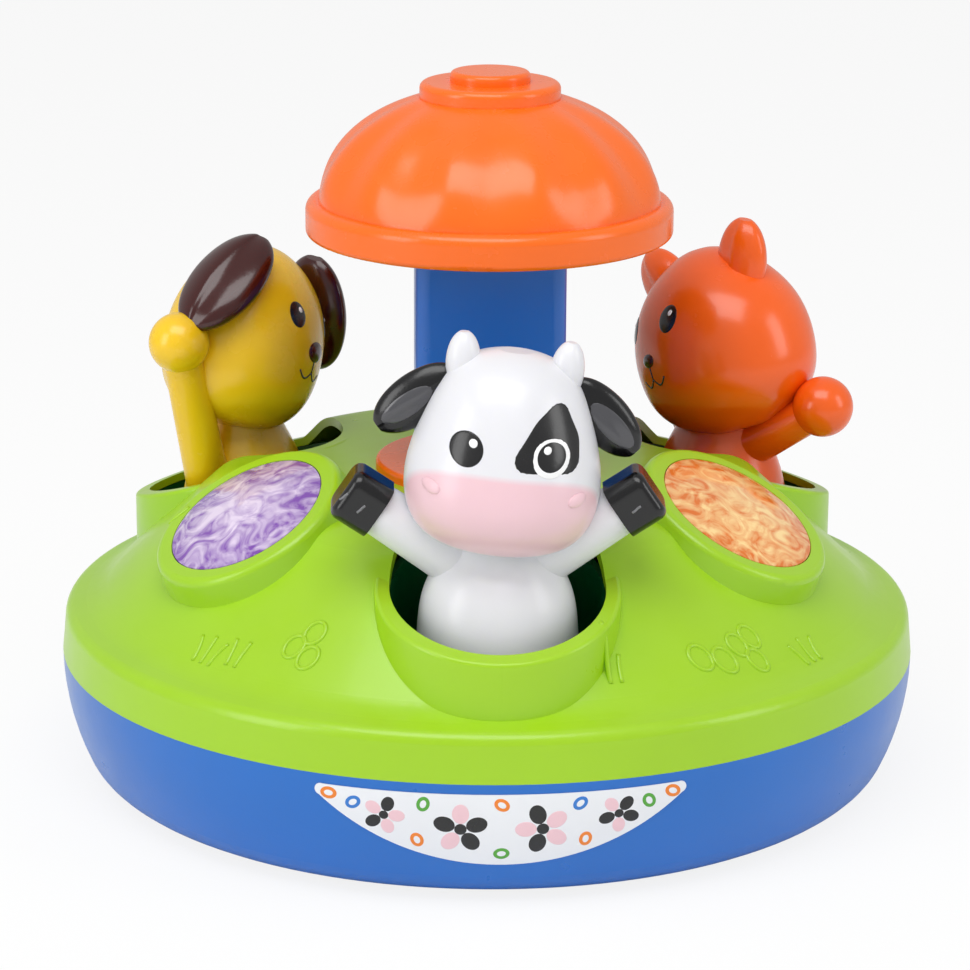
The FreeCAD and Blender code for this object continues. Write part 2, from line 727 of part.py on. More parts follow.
bar = bar_blank(bar_width, bar_thickness, bar_bottom, bar_bottom + bar_twist_length)
stem = block(bar_width, bar_thickness, bar_bottom + bar_twist_length, bar_top - bar_head_thickness)
stem = turned(stem, 360.0 * bar_twist_length / bar_pitch)
keep("twisted_bar", bar.fuse([stem, disc(bar_head_radius, bar_top - bar_head_thickness, bar_top)]))

# Gear deck: floor of the gear train, with the centre boss and the spindle bearings
deck = disc(deck_radius, deck_height, deck_top).fuse(disc(deck_boss_radius, deck_top, clutch_base - 0.5))
deck_cuts = [disc(deck_bore_radius, 20, 60)]
for angle in figure_angles:
    spot = polar(figure_orbit, angle)
    deck = deck.fuse(disc(6.0, deck_height - 4, deck_height, spot.x, spot.y))
    deck_cuts.append(disc(spindle_pin_radius + bearing_gap, 20, 40, spot.x, spot.y))
for angle in lens_angles:
    spot = polar(gearbox_screw_orbit, angle)
    deck = deck.fuse(disc(screw_boss_radius, deck_top, cover_height, spot.x, spot.y))
    deck_cuts.append(disc(screw_radius + seat_gap, 20, 60, spot.x, spot.y))
keep("gear_deck", deck.cut(deck_cuts))

# Gear cover with the nut's tower and the spring seat
tower = ring(tower_radius, tower_bore, cover_height, tower_top)
cover = disc(deck_radius, cover_height, cover_top).cut(disc(tower_bore, 40, 60)).fuse(tower)
cover = cover.fuse(ring(tower_radius, bar_width / 2 + 2.5, tower_roof, tower_top))
cover_cuts = []
for angle in figure_angles:
    spot = polar(figure_orbit, angle)
    cover_cuts.append(disc(spindle_radius + 1.0, 40, 60, spot.x, spot.y))
for angle in lens_angles:
    spot = polar(gearbox_screw_orbit, angle)
    cover_cuts.append(disc(screw_radius + seat_gap, 40, 60, spot.x, spot.y))
keep("gear_cover", cover.cut(cover_cuts))
gearbox_screws = []
for angle in lens_angles:
    spot = polar(gearbox_screw_orbit, angle)
    gearbox_screws.append(screw(spot.x, spot.y, cover_top, deck_height - 12))
keep("gearbox_screws", *gearbox_screws)

# Post, cap and the cap's screws
post = square_bar(post_width, post_corner, post_bottom, post_top)
post = post.fuse(square_bar(post_width + 2 * flange_proud, post_corner + flange_proud, post_bottom,
                            post_bottom + flange_thickness))
hollow_width = post_width - 2 * post_wall
hollow_low = square_bar(hollow_width, post_corner - post_wall, post_bottom - 1, bulkhead_height)
hollow_high = square_bar(hollow_width, post_corner - post_wall, bulkhead_height + bulkhead_thickness,
                         post_top - bulkhead_thickness)
cap_screw_spots = [(side * 11.0, side * 11.0) for side in (-1, 1)]
post = post.cut([hollow_low, hollow_high, disc(screw_radius + seat_gap, 100, 120)]
                + [disc(screw_radius + seat_gap, 170, 190, x, y) for x, y in cap_screw_spots])
keep("centre_post", post)
bar_screw_hole_top = bulkhead_height + bulkhead_thickness
keep("bar_screw", disc(screw_head_radius, bar_screw_hole_top, bar_screw_hole_top + screw_head_height).fuse(
    disc(screw_radius, bulkhead_height, bar_screw_hole_top)))

cap_dome_base = cap_rim_bottom + cap_rim_height
cap_top_share = math.acos(cap_neck_radius / cap_dome_radius)
cap_neck_height = cap_dome_base + cap_dome_height * math.sin(cap_top_share)


def dome_room(radius, rise, low):
    # The cap's hollow: a straight wall up to the dome's foot, then a quarter ellipse.
    centre = V(0, 0, cap_dome_base)
    ellipse = Part.Ellipse(centre + V(radius, 0, 0), centre + V(0, 0, rise), centre)
    side = Part.ArcOfEllipse(ellipse, 0, math.pi / 2).toShape()
    outline = [Part.makeLine(V(0, 0, low), V(radius, 0, low)),
               Part.makeLine(V(radius, 0, low), centre + V(radius, 0, 0)), side,
               Part.makeLine(centre + V(0, 0, rise), V(0, 0, low))]
    return Part.Face(Part.Wire(outline)).revolve(ORIGIN, UP, 360)


def cap_form(lobe_depth, sections=7):
    # Lobed outlines stacked along a quarter ellipse, with the lobes fading at both ends.
    wires = []
    for i in range(sections):
        share = i / (sections - 1)
        slope = cap_top_share * share
        depth = lobe_depth * math.sin(math.pi * (0.04 + 0.92 * share)) ** 0.8
        radius = cap_dome_radius * math.cos(slope)
        height = cap_dome_base + cap_dome_height * math.sin(slope)

        def reach(angle, radius=radius, depth=depth):
            lobed = radius - depth * (0.5 - 0.5 * math.cos(cap_lobes * angle))
            return lobed * math.cos(angle), lobed * math.sin(angle)

        wires.append(closed_curve(reach, height, 4 * cap_lobes))
    return Part.makeLoft(wires, True, False)


def make_cap():
    rim = disc(cap_rim_radius, cap_rim_bottom, cap_dome_base)
    rim = fillet_ring(rim, cap_rim_radius, cap_rim_bottom, 1.6)
    rim = fillet_ring(rim, cap_rim_radius, cap_dome_base, 2.8)
    ring_top = cap_neck_height + cap_ring_height
    crown = fillet_ring(disc(cap_ring_radius, cap_neck_height - 2, ring_top), cap_ring_radius, ring_top, 1.8)
    button = fillet_ring(disc(cap_button_radius, ring_top - 1, ring_top + cap_button_height),
                         cap_button_radius, ring_top + cap_button_height, 1.4)
    cap = rim.fuse([turned(cap_form(cap_lobe_depth), cap_lobe_start), crown, button])
    cap = cap.cut(dome_room(cap_dome_radius - wall, cap_dome_height - wall, cap_rim_bottom - 1))
    pillars = [disc(screw_radius + 2.2, post_top, cap_neck_height - 1, x, y) for x, y in cap_screw_spots]
    pilots = [disc(screw_radius + key_gap, post_top - 1, post_top + 6.5, x, y) for x, y in cap_screw_spots]
    return cap.fuse(pillars).cut(pilots)


keep("push_cap", make_cap())
plate_radius = cap_dome_radius - wall - seat_gap
under = disc(plate_radius, cap_rim_bottom + 0.6, cap_rim_bottom + 2.6)
under = under.cut(square_bar(post_width + 2 * seat_gap, post_corner + seat_gap, 140, 170))
keep("cap_underplate", under)
plate_bottom = post_top - bulkhead_thickness
cap_screws = [disc(screw_head_radius, plate_bottom - screw_head_height, plate_bottom, x, y).fuse(
    disc(screw_radius, plate_bottom, post_top + 6, x, y)) for x, y in cap_screw_spots]
keep("cap_screws", *cap_screws)


# Return spring: one unbroken tube swept along biarcs of half a turn
def spring_point(turn, low, pitch):
    return polar(spring_radius, 360 * turn, low + pitch * turn)


def spring_tangent(turn, pitch):
    angle = 2 * math.pi * turn
    rate = pitch / (2 * math.pi)
    return V(-spring_radius * math.sin(angle), spring_radius * math.cos(angle), rate).normalize()


def arc_from(start, corner, end):
    # The arc that touches both lines of a corner, at equal distances from it.
    chord_mid = (start + end) * 0.5
    half_chord = (end - start).Length / 2
    side = (corner - start).Length
    sag = half_chord * math.tan(math.acos(half_chord / side) / 2)
    return Part.Arc(start, chord_mid + (corner - chord_mid).normalize() * sag, end).toShape()


def make_spring(low, high):
    start_z = low + spring_wire / 2
    pitch = (high - low - spring_wire) / spring_turns
    edges = []
    for half_turn in range(spring_turns * 2):
        t0, t1 = half_turn / 2, (half_turn + 1) / 2
        p0, p1 = spring_point(t0, start_z, pitch), spring_point(t1, start_z, pitch)
        d0, d1 = spring_tangent(t0, pitch), spring_tangent(t1, pitch)
        chord = p1 - p0
        both = d0 + d1
        a, b, c = 4 - both.dot(both), 2 * chord.dot(both), -chord.dot(chord)
        reach = (-b + math.sqrt(b * b - 4 * a * c)) / (2 * a)
        q0, q1 = p0 + d0 * reach, p1 - d1 * reach
        joint = (q0 + q1) * 0.5
        edges += [arc_from(p0, q0, joint), arc_from(joint, q1, p1)]
    path = Part.Wire(edges)
    profile = Part.Wire(Part.makeCircle(spring_wire / 2, spring_point(0, start_z, pitch), spring_tangent(0, pitch)))
    spring = path.makePipeShell([profile], True, False)
    steps = 48
    line = [spring_point(i / steps, start_z, pitch) for i in range(spring_turns * steps + 1)]
    least = min((a - b).Length for i, a in enumerate(line) for b in line[i + steps // 2:])
    print("spring coils clear each other by", round(least - spring_wire, 2), "mm")
    return spring


keep("return_spring", make_spring(tower_top + 0.1, bulkhead_height - 0.1))


# Figure spindles and gears
def spindle():
    rod = disc(spindle_radius, deck_top + run_gap, spindle_top)
    rod = rod.fuse(disc(spindle_pin_radius, deck_height - 4, deck_top + run_gap))
    for low, high in ((gear_bottom - 2, cover_height - 2), (torso_bottom, spindle_top + 1)):
        rod = rod.cut(block(4, 12, low, high, spindle_flat + 2, 0))
    return rod


def pinion(mesh_angle):
    # A gap between two teeth faces the drive gear, whose tooth lies on the line of centres.
    gear = turned(gear_blank(pinion_teeth, gear_bottom, gear_top), mesh_angle + 180.0 / pinion_teeth)
    gear = gear.fuse(disc(pinion_hub_radius, deck_top + run_gap, cover_height - 4))
    bore = disc(spindle_radius + key_gap, 20, 60)
    key = block(4, 12, gear_bottom - 2, cover_height, spindle_flat + key_gap + 2, 0)
    bore = bore.cut(key.common(disc(30, gear_bottom, gear_top)))
    return gear.cut(bore)


# Figures, modelled about their own axis facing +X
def torso_core(radius, neck_depth, neck_width, neck_top):
    sections = [(torso_bottom, radius - 1.5, radius - 1.0, 0), (torso_bottom + 3, radius, radius, 0),
                (68, radius - 0.8, radius, 0), (78, radius - 4.0, radius - 2.6, 0),
                (86, neck_depth, neck_width, 0), (neck_top, neck_depth - 1, neck_width - 1, 0)]
    return egg(sections)


def arm(side, forward, root_height, hand_height, reach, thickness):
    root = V(forward * 0.2, side * 9.0, root_height)
    hand = V(forward, side * reach, hand_height)
    length = (hand - root).Length
    limb = Part.makeCone(thickness / 2 + 1.0, thickness / 2, length)
    return aim(limb, root, hand - root), hand, hand - root


def rolled(shape, roll, pivot=head_pivot):
    return shape.rotated(V(0, 0, pivot), V(1, 0, 0), roll)


def raised_arm(root, hand, thickness, paw_radius):
    # An arm with a round paw at its end.
    way = hand - root
    limb = aim(Part.makeCone(thickness / 2 + 1.0, thickness / 2, way.Length), root, way)
    paw = Part.makeSphere(paw_radius, hand + way.normalize() * (paw_radius * 0.4))
    return limb.fuse(paw)


def socket(body):
    # The spindle's D-shaped seat in a figure's torso.
    hole = disc(spindle_radius + key_gap, torso_bottom - 1, spindle_top + 0.5)
    key = block(4, 12, torso_bottom - 1, spindle_top + 1, spindle_flat + key_gap + 2, 0)
    return body.cut(hole.cut(key))


def place_figure(shape, heading, angle):
    placed = shape.rotated(ORIGIN, UP, heading)
    spot = polar(figure_orbit, angle)
    placed.translate(spot)
    return placed


def make_cow():
    head = egg([(87.0, 4, 5, 3), (88.0, 11, 13, 3), (91.0, 17.5, 19.8, 3), (96.5, 22.3, 23.8, 2.8),
                (104, 24.4, 25.4, 2), (111, 23.5, 24.8, 1.2), (119, 21.4, 22.7, 0.5), (127, 18.6, 19.8, 0),
                (133, 14.5, 16.2, 0), (137.3, 8.5, 10.5, 0), (139, 3.5, 4.5, 0)], 12)
    horns = []
    for side in (-1, 1):
        horns.append(aim(pod(17, 9.0, 9.0), V(0, side * 12.8, 126.0), V(0, side * 0.06, 1)))
    head = rolled(head.fuse(horns), cow_roll, cow_pivot)
    ears = []
    for side in (-1, 1):
        ear = aim(pod(26, 13.5, 7.5), V(-1, side * 14.5, 132.3), V(0, side * 0.74, -0.67))
        ears.append(rolled(ear, cow_roll, cow_pivot).cut(head))
    torso = torso_core(torso_radius, 11, 13, 94)
    hooves = []
    for side in (-1, 1):
        limb, hand, way = arm(side, 1.0, 82.0, 96.8, 31.0, 13.6)
        torso = torso.fuse(limb)
        hoof = square_bar(14.6, 4.0, 0, 11.0)
        hoof = hoof.makeFillet(2.5, [e for e in hoof.Edges if e.BoundBox.ZMin > 10.9])
        hooves.append(aim(hoof, hand, way))
    torso = socket(torso.cut(head))
    return {"torso": [torso], "head": [head], "ears": ears, "hooves": hooves}


def make_dog():
    head = egg([(86.8, 4, 5, 0), (88.2, 10.5, 12, 0), (92, 16.5, 18.5, 0), (98, 20.5, 22.4, 0),
                (106, 22.2, 24.2, 0), (114, 22.2, 24.2, 0), (122, 20.6, 22.4, 0), (129, 17.2, 18.8, 0),
                (135, 12, 13.5, 0), (138.7, 6.5, 7.5, 0), (140, 2.5, 3, 0)], 12)
    head = rolled(head, dog_roll)
    ears = []
    for side in (-1, 1):
        ear = lay(pod(36, 23.0, 11.0), V(8, side * 13.5, 141), V(-4, side * 18, -31), V(0.1, side * 0.86, 0.5))
        ears.append(rolled(ear, dog_roll).cut(head))
    torso = torso_core(torso_radius - 2, 10.5, 12.5, 96)
    near = raised_arm(V(0, 4.0 - torso_radius, 70), V(0, -29.0, 114.0), 11.0, 8.6)
    far = raised_arm(V(-6, 6, 82), V(-17, 10, 94), 11.0, 6.5)
    torso = socket(torso.fuse([near, far]).cut(head).cut(ears))
    return {"torso": [torso], "head": [head], "ears": ears}


def make_cat():
    head = egg([(85.2, 4, 5, 0), (86.8, 12, 13, 0), (91, 18.6, 20.2, 0), (97, 23, 25, 0),
                (105, 25, 27, 0), (112, 25, 27, 0), (119, 23.6, 25.4, 0), (127, 19.6, 21, 0),
                (133.5, 13.6, 15, 0), (137.5, 7.5, 8.5, 0), (139, 3, 3.5, 0)], 12)
    head = rolled(head, cat_roll)
    ears = []
    for side in (-1, 1):
        ear = aim(pod(26, 17.0, 11.0), V(0, side * 10.5, 120.0), V(0, side * 0.45, 0.89))
        ears.append(rolled(ear, cat_roll).cut(head))
    torso = torso_core(torso_radius - 1, 11.5, 13.5, 96)
    near = raised_arm(V(-2, 12, 83), V(-8.5, 29.5, 95.0), 11.0, 8.7)
    far = raised_arm(V(-2, -12, 83), V(-8.5, -29.5, 95.0), 11.0, 8.7)
    torso = socket(torso.fuse([near, far]).cut(head))
    return {"torso": [torso], "head": [head], "ears": ears}


figures = (("cow", make_cow, cow_heading, cow_angle), ("dog", make_dog, dog_heading, dog_angle),
           ("cat", make_cat, cat_heading, cat_angle))
for name, make, heading, angle in figures:
    for piece, solids in make().items():
        keep(name + "_" + piece, *[place_figure(s, heading, angle) for s in solids])
    keep(name + "_spindle", place_figure(spindle(), heading, angle))
    keep(name + "_gear", place_figure(pinion(angle + 180 - heading), heading, angle))
    keep(name + "_well", to_well(liner(), angle))
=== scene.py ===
import bpy, bmesh, math
from mathutils import Matrix, Vector
from mathutils.bvhtree import BVHTree


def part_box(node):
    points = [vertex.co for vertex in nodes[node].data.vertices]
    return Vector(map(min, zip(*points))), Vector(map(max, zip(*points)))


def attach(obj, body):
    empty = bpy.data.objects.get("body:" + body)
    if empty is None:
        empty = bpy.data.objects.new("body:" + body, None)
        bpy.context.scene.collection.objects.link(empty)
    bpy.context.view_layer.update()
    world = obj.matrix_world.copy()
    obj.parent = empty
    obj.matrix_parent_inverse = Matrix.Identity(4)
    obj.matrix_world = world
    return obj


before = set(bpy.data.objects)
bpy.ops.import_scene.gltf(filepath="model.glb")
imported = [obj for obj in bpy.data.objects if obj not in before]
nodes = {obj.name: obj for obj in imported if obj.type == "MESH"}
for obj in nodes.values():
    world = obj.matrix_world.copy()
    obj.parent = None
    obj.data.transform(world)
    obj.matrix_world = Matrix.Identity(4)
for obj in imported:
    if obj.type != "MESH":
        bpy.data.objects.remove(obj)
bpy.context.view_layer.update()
print("frame loaded:", len(nodes), "nodes")


# camera and light

studio = {
    "target": (-0.00081, 0.00003, 0.07976), "distance": 1.0, "tilt": 73.818, "turn": -1.9, "roll": 0.327,
    "lens": 131.77, "aim": (0, 0, 0.09), "floorReach": 6.0, "floorDrop": 0.0002,
    "floorWhite": 0.92, "floorGlow": 0.85, "worldGrey": 0.52,
    "topPanel": {"size": (1.1, 0.7), "spot": (-0.15, -0.55, 1.25), "power": 8.6},
    "leftPanel": {"size": (0.5, 0.9), "spot": (-1.15, -0.65, 0.55), "power": 4.5},
    "rightPanel": {"size": (0.4, 0.8), "spot": (1.15, -0.45, 0.6), "power": 3.0},
}


def addPanel(name, panel, aim):
    lamp = bpy.data.lights.new(name, "AREA")
    lamp.shape = "RECTANGLE"
    lamp.size, lamp.size_y = panel["size"]
    lamp.energy = panel["power"]
    lampObject = bpy.data.objects.new(name, lamp)
    bpy.context.scene.collection.objects.link(lampObject)
    lampObject.location = panel["spot"]
    way = Vector(aim) - Vector(panel["spot"])
    lampObject.rotation_euler = way.to_track_quat("-Z", "Y").to_euler()


def whiteToCamera(tree, out, lit, glow, share):
    # what the lens and clear plastic see of the room is white; the lighting keeps its own level
    path = tree.nodes.new("ShaderNodeLightPath")
    seen = tree.nodes.new("ShaderNodeMath")
    seen.operation = "MAXIMUM"
    part = tree.nodes.new("ShaderNodeMath")
    part.operation = "MULTIPLY"
    part.inputs[1].default_value = share
    mix = tree.nodes.new("ShaderNodeMixShader")
    tree.links.new(path.outputs["Is Camera Ray"], seen.inputs[0])
    tree.links.new(path.outputs["Is Transmission Ray"], seen.inputs[1])
    tree.links.new(seen.outputs[0], part.inputs[0])
    tree.links.new(part.outputs[0], mix.inputs[0])
    tree.links.new(lit.outputs[0], mix.inputs[1])
    tree.links.new(glow.outputs[0], mix.inputs[2])
    tree.links.new(mix.outputs[0], out.inputs["Surface"])


def buildStudio():
    scene = bpy.context.scene
    scene.view_settings.view_transform = "Standard"
    world = bpy.data.worlds.new("paleRoom")
    scene.world = world
    world.use_nodes = True
    tree = world.node_tree
    tree.nodes.clear()
    out = tree.nodes.new("ShaderNodeOutputWorld")
    plain = tree.nodes.new("ShaderNodeBackground")
    plain.inputs["Color"].default_value = (1, 1, 1, 1)
    plain.inputs["Strength"].default_value = studio["worldGrey"]
    bright = tree.nodes.new("ShaderNodeBackground")
    bright.inputs["Color"].default_value = (1, 1, 1, 1)
    whiteToCamera(tree, out, plain, bright, 1.0)

    bm = bmesh.new()
    bmesh.ops.create_circle(bm, cap_ends=True, segments=96, radius=studio["floorReach"])
    bmesh.ops.translate(bm, verts=bm.verts, vec=(0, 0, -studio["floorDrop"]))
    floorMesh = bpy.data.meshes.new("floor")
    bm.to_mesh(floorMesh)
    bm.free()
    floor = bpy.data.objects.new("floor", floorMesh)
    scene.collection.objects.link(floor)
    material = bpy.data.materials.new("paleFloor")
    material.use_nodes = True
    tree = material.node_tree
    tree.nodes.clear()
    out = tree.nodes.new("ShaderNodeOutputMaterial")
    matt = tree.nodes.new("ShaderNodeBsdfDiffuse")
    matt.inputs["Color"].default_value = (studio["floorWhite"],) * 3 + (1,)
    bright = tree.nodes.new("ShaderNodeEmission")
    bright.inputs["Color"].default_value = (1, 1, 1, 1)
    whiteToCamera(tree, out, matt, bright, studio["floorGlow"])
    floorMesh.materials.append(material)

    for name in ("topPanel", "leftPanel", "rightPanel"):
        addPanel(name, studio[name], studio["aim"])
    camera = bpy.data.objects.new("camera", bpy.data.cameras.new("camera"))
    scene.collection.objects.link(camera)
    camera.data.lens = studio["lens"]
    camera.data.clip_start = 0.05
    turn = Matrix.Rotation(math.radians(studio["turn"]), 4, "Z")
    tilt = Matrix.Rotation(math.radians(studio["tilt"]), 4, "X")
    roll = Matrix.Rotation(math.radians(studio["roll"]), 4, "Z")
    view = turn @ tilt @ roll
    spot = Vector(studio["target"]) + view.to_3x3() @ Vector((0, 0, studio["distance"]))
    camera.matrix_world = Matrix.Translation(spot) @ view
    scene.camera = camera
    print("studio built")


buildStudio()


# finishes

def screenColour(red, green, blue):
    # a colour as a screen shows it, turned into the light values that shaders use
    def one(value):
        value /= 255.0
        return value / 12.92 if value <= 0.04045 else ((value + 0.055) / 1.055) ** 2.4
    return (one(red), one(green), one(blue), 1.0)


def newGroup(name, inputs, outputs):
    group = bpy.data.node_groups.new(name, "ShaderNodeTree")
    for label, kind, value in inputs:
        socket = group.interface.new_socket(name=label, in_out="INPUT", socket_type=kind)
        if value is not None:
            socket.default_value = value
    for label, kind in outputs:
        group.interface.new_socket(name=label, in_out="OUTPUT", socket_type=kind)
    return group, group.nodes.new("NodeGroupInput"), group.nodes.new("NodeGroupOutput")


def mathNode(tree, operation, first, second=None, clamp=False):
    node = tree.nodes.new("ShaderNodeMath")
    node.operation = operation
    node.use_clamp = clamp
    for socket, value in ((node.inputs[0], first), (node.inputs[1], second)):
        if value is None:
            continue
        if isinstance(value, (int, float)):
            socket.default_value = value
        else:
            tree.links.new(value, socket)
    return node.outputs[0]


def noiseNode(tree, vector, scale, detail=2.0):
    node = tree.nodes.new("ShaderNodeTexNoise")
    node.inputs["Scale"].default_value = scale
    node.inputs["Detail"].default_value = detail
    tree.links.new(vector, node.inputs["Vector"])
    return node


def buildMouldedSkin():
    # slow colour drift, fine mould grain and a little dust on what faces up
    group, start, end = newGroup(
        "mouldedSkin",
        [("Vector", "NodeSocketVector", None), ("Colour", "NodeSocketColor", (0.5, 0.5, 0.5, 1)),
         ("Drift", "NodeSocketFloat", 0.06), ("Roughness", "NodeSocketFloat", 0.3),
         ("Dust", "NodeSocketFloat", 0.1)],
        [("Colour", "NodeSocketColor"), ("Roughness", "NodeSocketFloat"), ("Height", "NodeSocketFloat")])
    link = group.links.new
    slow = noiseNode(group, start.outputs["Vector"], 28.0)
    grain = noiseNode(group, start.outputs["Vector"], 1400.0, 1.0)
    smear = noiseNode(group, start.outputs["Vector"], 110.0, 4.0)
    drift = mathNode(group, "SUBTRACT", slow.outputs["Fac"], 0.5)
    drift = mathNode(group, "MULTIPLY", drift, start.outputs["Drift"])
    drift = mathNode(group, "ADD", drift, 1.0)
    tone = group.nodes.new("ShaderNodeVectorMath")
    tone.operation = "SCALE"
    link(start.outputs["Colour"], tone.inputs[0])
    link(drift, tone.inputs["Scale"])
    geometry = group.nodes.new("ShaderNodeNewGeometry")
    split = group.nodes.new("ShaderNodeSeparateXYZ")
    link(geometry.outputs["Normal"], split.inputs[0])
    upward = mathNode(group, "MULTIPLY", split.outputs["Z"], start.outputs["Dust"], clamp=True)
    dust = mathNode(group, "MULTIPLY", upward, smear.outputs["Fac"], clamp=True)
    dusty = group.nodes.new("ShaderNodeMix")
    dusty.data_type = "RGBA"
    link(dust, dusty.inputs["Factor"])
    link(tone.outputs[0], dusty.inputs["A"])
    dusty.inputs["B"].default_value = (0.62, 0.60, 0.56, 1)
    link(dusty.outputs["Result"], end.inputs["Colour"])
    rough = mathNode(group, "SUBTRACT", smear.outputs["Fac"], 0.5)
    rough = mathNode(group, "MULTIPLY", rough, 0.12)
    rough = mathNode(group, "ADD", rough, start.outputs["Roughness"])
    rough = mathNode(group, "ADD", rough, dust, clamp=True)
    link(rough, end.inputs["Roughness"])
    link(grain.outputs["Fac"], end.inputs["Height"])
    return group


def buildPatchMask():
    # one inside an ellipsoid, nothing outside it, with a soft edge between
    group, start, end = newGroup(
        "patchMask",
        [("Vector", "NodeSocketVector", None), ("Centre", "NodeSocketVector", (0, 0, 0)),
         ("Reach", "NodeSocketVector", (1, 1, 1)), ("Softness", "NodeSocketFloat", 0.1)],
        [("Mask", "NodeSocketFloat")])
    away = group.nodes.new("ShaderNodeVectorMath")
    away.operation = "SUBTRACT"
    group.links.new(start.outputs["Vector"], away.inputs[0])
    group.links.new(start.outputs["Centre"], away.inputs[1])
    share = group.nodes.new("ShaderNodeVectorMath")
    share.operation = "DIVIDE"
    group.links.new(away.outputs[0], share.inputs[0])
    group.links.new(start.outputs["Reach"], share.inputs[1])
    length = group.nodes.new("ShaderNodeVectorMath")
    length.operation = "LENGTH"
    group.links.new(share.outputs[0], length.inputs[0])
    inside = mathNode(group, "SUBTRACT", 1.0, length.outputs["Value"])
    inside = mathNode(group, "DIVIDE", inside, start.outputs["Softness"])
    inside = mathNode(group, "ADD", inside, 0.5, clamp=True)
    group.links.new(inside, end.inputs["Mask"])
    return group


mouldedSkin = buildMouldedSkin()
patchMask = buildPatchMask()


def startMaterial(name):
    material = bpy.data.materials.new(name)
    material.use_nodes = True
    tree = material.node_tree
    shader = tree.nodes["Principled BSDF"]
    coordinates = tree.nodes.new("ShaderNodeTexCoord")
    return material, tree, shader, coordinates.outputs["Object"]


def addSkin(tree, shader, vector, colour, drift, roughness, dust, grain):
    skin = tree.nodes.new("ShaderNodeGroup")
    skin.node_tree = mouldedSkin
    tree.links.new(vector, skin.inputs["Vector"])
    if isinstance(colour, tuple):
        skin.inputs["Colour"].default_value = colour
    else:
        tree.links.new(colour, skin.inputs["Colour"])
    skin.inputs["Drift"].default_value = drift
    skin.inputs["Roughness"].default_value = roughness
    skin.inputs["Dust"].default_value = dust
    tree.links.new(skin.outputs["Colour"], shader.inputs["Base Color"])
    tree.links.new(skin.outputs["Roughness"], shader.inputs["Roughness"])
    bump = tree.nodes.new("ShaderNodeBump")
    bump.inputs["Strength"].default_value = grain
    bump.inputs["Distance"].default_value = 0.0002
    tree.links.new(skin.outputs["Height"], bump.inputs["Height"])
    tree.links.new(bump.outputs["Normal"], shader.inputs["Normal"])
    return skin


def addGloss(shader, coat, soft):
    # a clear skin over the colour and, in pale plastics, a little light that wanders inside
    shader.inputs["Coat Weight"].default_value = coat
    shader.inputs["Coat Roughness"].default_value = 0.12
    if soft:
        shader.inputs["Subsurface Weight"].default_value = soft
        shader.inputs["Subsurface Radius"].default_value = (0.4, 0.4, 0.2)
        shader.inputs["Subsurface Scale"].default_value = 0.004


def mouldedPlastic(name, colour, roughness=0.25, coat=0.0, grain=0.08, drift=0.08, dust=0.03, soft=0.0):
    material, tree, shader, vector = startMaterial(name)
    addSkin(tree, shader, vector, colour, drift, roughness, dust, grain)
    addGloss(shader, coat, soft)
    return material


def bareMetal(name, colour, roughness):
    material, tree, shader, vector = startMaterial(name)
    addSkin(tree, shader, vector, colour, 0.15, roughness, 0.0, 0.15)
    shader.inputs["Metallic"].default_value = 1.0
    return material


finishes = {
    "limeShell": mouldedPlastic("limeShell", screenColour(160, 208, 20), 0.3, 0.15, grain=0.04, soft=0.12),
    "blueShell": mouldedPlastic("blueShell", screenColour(12, 106, 196), 0.3, 0.2, drift=0.14),
    "postBlue": mouldedPlastic("postBlue", screenColour(16, 104, 206), 0.3, 0.2, dust=0.0),
    "capOrange": mouldedPlastic("capOrange", screenColour(252, 108, 0), 0.26, 0.15, drift=0.12),
    "dogYellow": mouldedPlastic("dogYellow", screenColour(246, 200, 14), 0.26, 0.25, soft=0.1),
    "earBrown": mouldedPlastic("earBrown", screenColour(60, 12, 8), 0.2, 0.2, dust=0.0),
    "cowWhite": mouldedPlastic("cowWhite", screenColour(230, 230, 234), 0.34, 0.15, soft=0.1, dust=0.0),
    "glossBlack": mouldedPlastic("glossBlack", screenColour(8, 8, 10), 0.24, 0.15, dust=0.0),
    "catOrange": mouldedPlastic("catOrange", screenColour(246, 96, 2), 0.24, 0.2, drift=0.16),
    "wellGreen": mouldedPlastic("wellGreen", screenColour(0, 80, 40), 0.32, 0.1),
    "rubber": mouldedPlastic("rubber", screenColour(34, 34, 36), 0.75, 0.0, grain=0.3, dust=0.2),
    "gearWhite": mouldedPlastic("gearWhite", screenColour(226, 226, 220), 0.4),
    "innerGrey": mouldedPlastic("innerGrey", screenColour(150, 150, 152), 0.45),
    "boardGreen": mouldedPlastic("boardGreen", screenColour(28, 96, 52), 0.3, 0.3),
    "darkPlastic": mouldedPlastic("darkPlastic", screenColour(36, 36, 40), 0.5),
    "cellJacket": mouldedPlastic("cellJacket", screenColour(150, 146, 134), 0.3, 0.3),
    "zincSteel": bareMetal("zincSteel", screenColour(190, 192, 196), 0.32),
    "springSteel": bareMetal("springSteel", screenColour(170, 172, 176), 0.25),
    "labelPaper": mouldedPlastic("labelPaper", screenColour(236, 238, 242), 0.25, 0.4,
                                 grain=0.03, dust=0.0),
    "inkBlack": mouldedPlastic("inkBlack", screenColour(18, 18, 20), 0.25, 0.2),
    "inkWhite": mouldedPlastic("inkWhite", screenColour(248, 248, 248), 0.25, 0.2),
    "inkPink": mouldedPlastic("inkPink", screenColour(240, 200, 208), 0.35, 0.1, dust=0.0),
    # pale grey used only for the painted highlights on the hooves
    "highlightGrey": mouldedPlastic("highlightGrey", screenColour(120, 120, 124), 0.3, 0.1),
    "inkOrange": mouldedPlastic("inkOrange", screenColour(240, 130, 30), 0.3, 0.2),
    "inkBlue": mouldedPlastic("inkBlue", screenColour(40, 120, 205), 0.3, 0.2),
    "inkGreen": mouldedPlastic("inkGreen", screenColour(80, 165, 50), 0.3, 0.2),
    "earSheen": mouldedPlastic("earSheen", screenColour(74, 74, 78), 0.16, 0.4),
}
